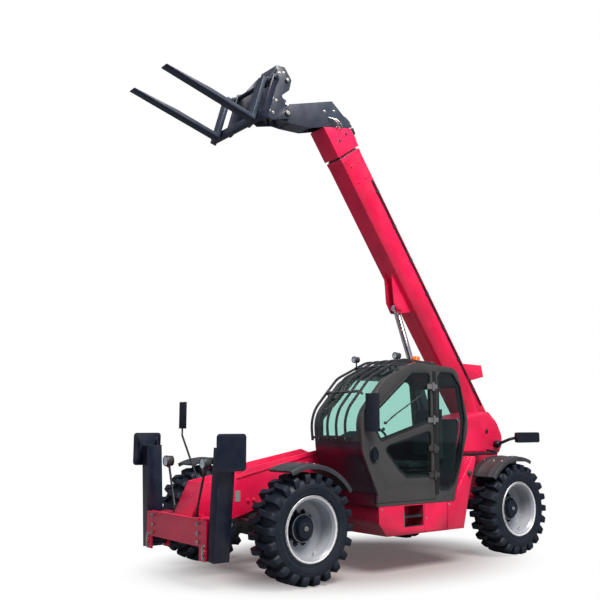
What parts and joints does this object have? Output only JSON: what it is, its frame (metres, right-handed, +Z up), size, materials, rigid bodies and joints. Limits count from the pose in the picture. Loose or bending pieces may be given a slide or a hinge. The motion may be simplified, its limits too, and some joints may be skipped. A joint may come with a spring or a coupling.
{
  "type": "telehandler",
  "caption": "Four-wheeled telehandler with a side cab, three-stage telescopic boom raised at the rear, pallet forks and front stabilisers.",
  "frame": {"origin": "on the ground under the middle of the whole machine, from the tow hitch to the fork tips, boom stored raised", "axes": "+X forwards, +Y to the left, the cab's side, +Z up"},
  "size_m": [5.934, 2.489, 6.2617],
  "materials": {
    "red_paint": "gloss",
    "dark_red_paint": "satin",
    "black_paint": "satin",
    "engine_cast": "matte",
    "cab_paint": "gloss",
    "window_glass": "gloss",
    "black_plastic": "matte",
    "orange_plastic": "gloss",
    "seat_fabric": "matte",
    "grey_paint": "satin",
    "rod_chrome": "polished",
    "fork_paint": "satin",
    "tyre_rubber": "matte",
    "rim_paint": "satin"
  },
  "bodies": {
    "chassis": {"frame": "red_paint", "stabiliser_beam": "dark_red_paint", "axle_front": "black_paint", "axle_rear": "black_paint", "counterweight": "black_paint", "tow_hitch": "black_paint", "engine_tray": "black_paint", "engine": "engine_cast", "step_box": "dark_red_paint", "rear_tank": "dark_red_paint", "rear_cowl": "red_paint", "cab_shell": "cab_paint", "cab_glass": "window_glass", "cab_guard": "black_paint", "cab_lamps": "black_plastic", "beacon": "orange_plastic", "rear_mirror": "black_plastic", "front_lamps": "black_plastic", "front_mirror": "black_plastic", "seat": "seat_fabric", "dashboard": "black_plastic", "steering_wheel": "black_plastic"},
    "door": {"door_frame": "cab_paint", "door_glass": "window_glass", "cab_mirror": "black_plastic"},
    "engine_cover": {"engine_cover": "red_paint"},
    "boom": {"boom_outer": "red_paint"},
    "boom_middle": {"boom_middle": "grey_paint"},
    "boom_inner": {"boom_inner": "red_paint", "boom_nose": "grey_paint", "tilt_barrel": "black_paint"},
    "tilt_rod": {"tilt_rod": "rod_chrome"},
    "carriage": {"coupler": "grey_paint", "fork_frame": "dark_red_paint", "fork_left": "fork_paint", "fork_right": "fork_paint"},
    "lift_barrel": {"lift_barrel": "black_paint"},
    "lift_rod": {"lift_rod": "rod_chrome"},
    "stabiliser_leg_left": {"stabiliser_leg_left": "fork_paint"},
    "stabiliser_pad_left": {"stabiliser_pad_left": "black_paint"},
    "stabiliser_leg_right": {"stabiliser_leg_right": "fork_paint"},
    "stabiliser_pad_right": {"stabiliser_pad_right": "black_paint"},
    "knuckle_front_left": {"knuckle_front_left": "black_paint", "fender_front_left": "black_plastic"},
    "wheel_front_left": {"tyre_front_left": "tyre_rubber", "rim_front_left": "rim_paint"},
    "knuckle_front_right": {"knuckle_front_right": "black_paint", "fender_front_right": "black_plastic"},
    "wheel_front_right": {"tyre_front_right": "tyre_rubber", "rim_front_right": "rim_paint"},
    "knuckle_rear_left": {"knuckle_rear_left": "black_paint", "fender_rear_left": "black_plastic"},
    "wheel_rear_left": {"tyre_rear_left": "tyre_rubber", "rim_rear_left": "rim_paint"},
    "knuckle_rear_right": {"knuckle_rear_right": "black_paint", "fender_rear_right": "black_plastic"},
    "wheel_rear_right": {"tyre_rear_right": "tyre_rubber", "rim_rear_right": "rim_paint"}
  },
  "joints": [
    {"name": "boom_lift", "type": "hinge", "parent": "chassis", "child": "boom", "pos_m": [-2.59705, 0, 1.66], "axis": [0, -1, 0], "range_deg": [-58, 13]},
    {"name": "boom_extend", "type": "slide", "parent": "boom", "child": "boom_middle", "axis": [0.5736, 0, 0.8192], "range_m": [0, 3.6]},
    {"name": "boom_extend_inner", "type": "slide", "parent": "boom_middle", "child": "boom_inner", "axis": [0.5736, 0, 0.8192], "range_m": [0, 3.6]},
    {"name": "carriage_tilt", "type": "hinge", "parent": "boom_inner", "child": "carriage", "pos_m": [1.07285, 0, 5.64587], "axis": [0, 1, 0], "range_deg": [-52, 60]},
    {"name": "tilt_rod_slide", "type": "slide", "parent": "boom_inner", "child": "tilt_rod", "axis": [0.9952, 0, 0.0981], "range_m": [-0.17, 0.19]},
    {"name": "lift_swing", "type": "hinge", "parent": "chassis", "child": "lift_barrel", "pos_m": [-1.92705, 0, 0.85], "axis": [0, -1, 0], "range_deg": [-55, 13]},
    {"name": "lift_rod_slide", "type": "slide", "parent": "lift_barrel", "child": "lift_rod", "axis": [0.3591, 0, 0.9333], "range_m": [-1.01, 0.23]},
    {"name": "cab_door", "type": "hinge", "parent": "chassis", "child": "door", "pos_m": [-0.45205, 1.165, 1.4], "axis": [0, 0, 1], "range_deg": [0, 100]},
    {"name": "engine_cover", "type": "hinge", "parent": "chassis", "child": "engine_cover", "pos_m": [-0.36705, -0.218, 1.388], "axis": [-1, 0, 0], "range_deg": [0, 60]},
    {"name": "stabiliser_left", "type": "hinge", "parent": "chassis", "child": "stabiliser_leg_left", "pos_m": [2.34795, 0.62, 0.38], "axis": [-1, 0, 0], "range_deg": [0, 92.5]},
    {"name": "stabiliser_pad_left", "type": "hinge", "parent": "stabiliser_leg_left", "child": "stabiliser_pad_left", "pos_m": [2.34795, 0.9049, 1.39905], "axis": [-1, 0, 0], "range_deg": [-12, 12]},
    {"name": "stabiliser_right", "type": "hinge", "parent": "chassis", "child": "stabiliser_leg_right", "pos_m": [2.34795, -0.62, 0.38], "axis": [1, 0, 0], "range_deg": [0, 92.5]},
    {"name": "stabiliser_pad_right", "type": "hinge", "parent": "stabiliser_leg_right", "child": "stabiliser_pad_right", "pos_m": [2.34795, -0.9049, 1.39905], "axis": [1, 0, 0], "range_deg": [-12, 12]},
    {"name": "steer_front_left", "type": "hinge", "parent": "chassis", "child": "knuckle_front_left", "pos_m": [1.48295, 0.74, 0.59], "axis": [0, 0, 1], "range_deg": [-35, 35]},
    {"name": "wheel_front_left", "type": "hinge", "parent": "knuckle_front_left", "child": "wheel_front_left", "pos_m": [1.48295, 1.005, 0.59], "axis": [0, 1, 0], "continuous": true},
    {"name": "steer_front_right", "type": "hinge", "parent": "chassis", "child": "knuckle_front_right", "pos_m": [1.48295, -0.74, 0.59], "axis": [0, 0, 1], "range_deg": [-35, 35]},
    {"name": "wheel_front_right", "type": "hinge", "parent": "knuckle_front_right", "child": "wheel_front_right", "pos_m": [1.48295, -1.005, 0.59], "axis": [0, 1, 0], "continuous": true},
    {"name": "steer_rear_left", "type": "hinge", "parent": "chassis", "child": "knuckle_rear_left", "pos_m": [-2.01705, 0.74, 0.59], "axis": [0, 0, 1], "range_deg": [-35, 35]},
    {"name": "wheel_rear_left", "type": "hinge", "parent": "knuckle_rear_left", "child": "wheel_rear_left", "pos_m": [-2.01705, 1.005, 0.59], "axis": [0, 1, 0], "continuous": true},
    {"name": "steer_rear_right", "type": "hinge", "parent": "chassis", "child": "knuckle_rear_right", "pos_m": [-2.01705, -0.74, 0.59], "axis": [0, 0, 1], "range_deg": [-35, 35]},
    {"name": "wheel_rear_right", "type": "hinge", "parent": "knuckle_rear_right", "child": "wheel_rear_right", "pos_m": [-2.01705, -1.005, 0.59], "axis": [0, 1, 0], "continuous": true}
  ],
  "couplings": [
    {"joint": "boom_extend_inner", "follows": "boom_extend", "ratio": 1},
    {"joint": "tilt_rod_slide", "follows": "carriage_tilt", "m_per_rad": 0.18},
    {"joint": "lift_swing", "follows": "boom_lift", "ratio": 0.935},
    {"joint": "lift_rod_slide", "follows": "boom_lift", "m_per_rad": 0.99},
    {"joint": "steer_front_right", "follows": "steer_front_left", "ratio": 1},
    {"joint": "steer_rear_right", "follows": "steer_rear_left", "ratio": 1}
  ]
}
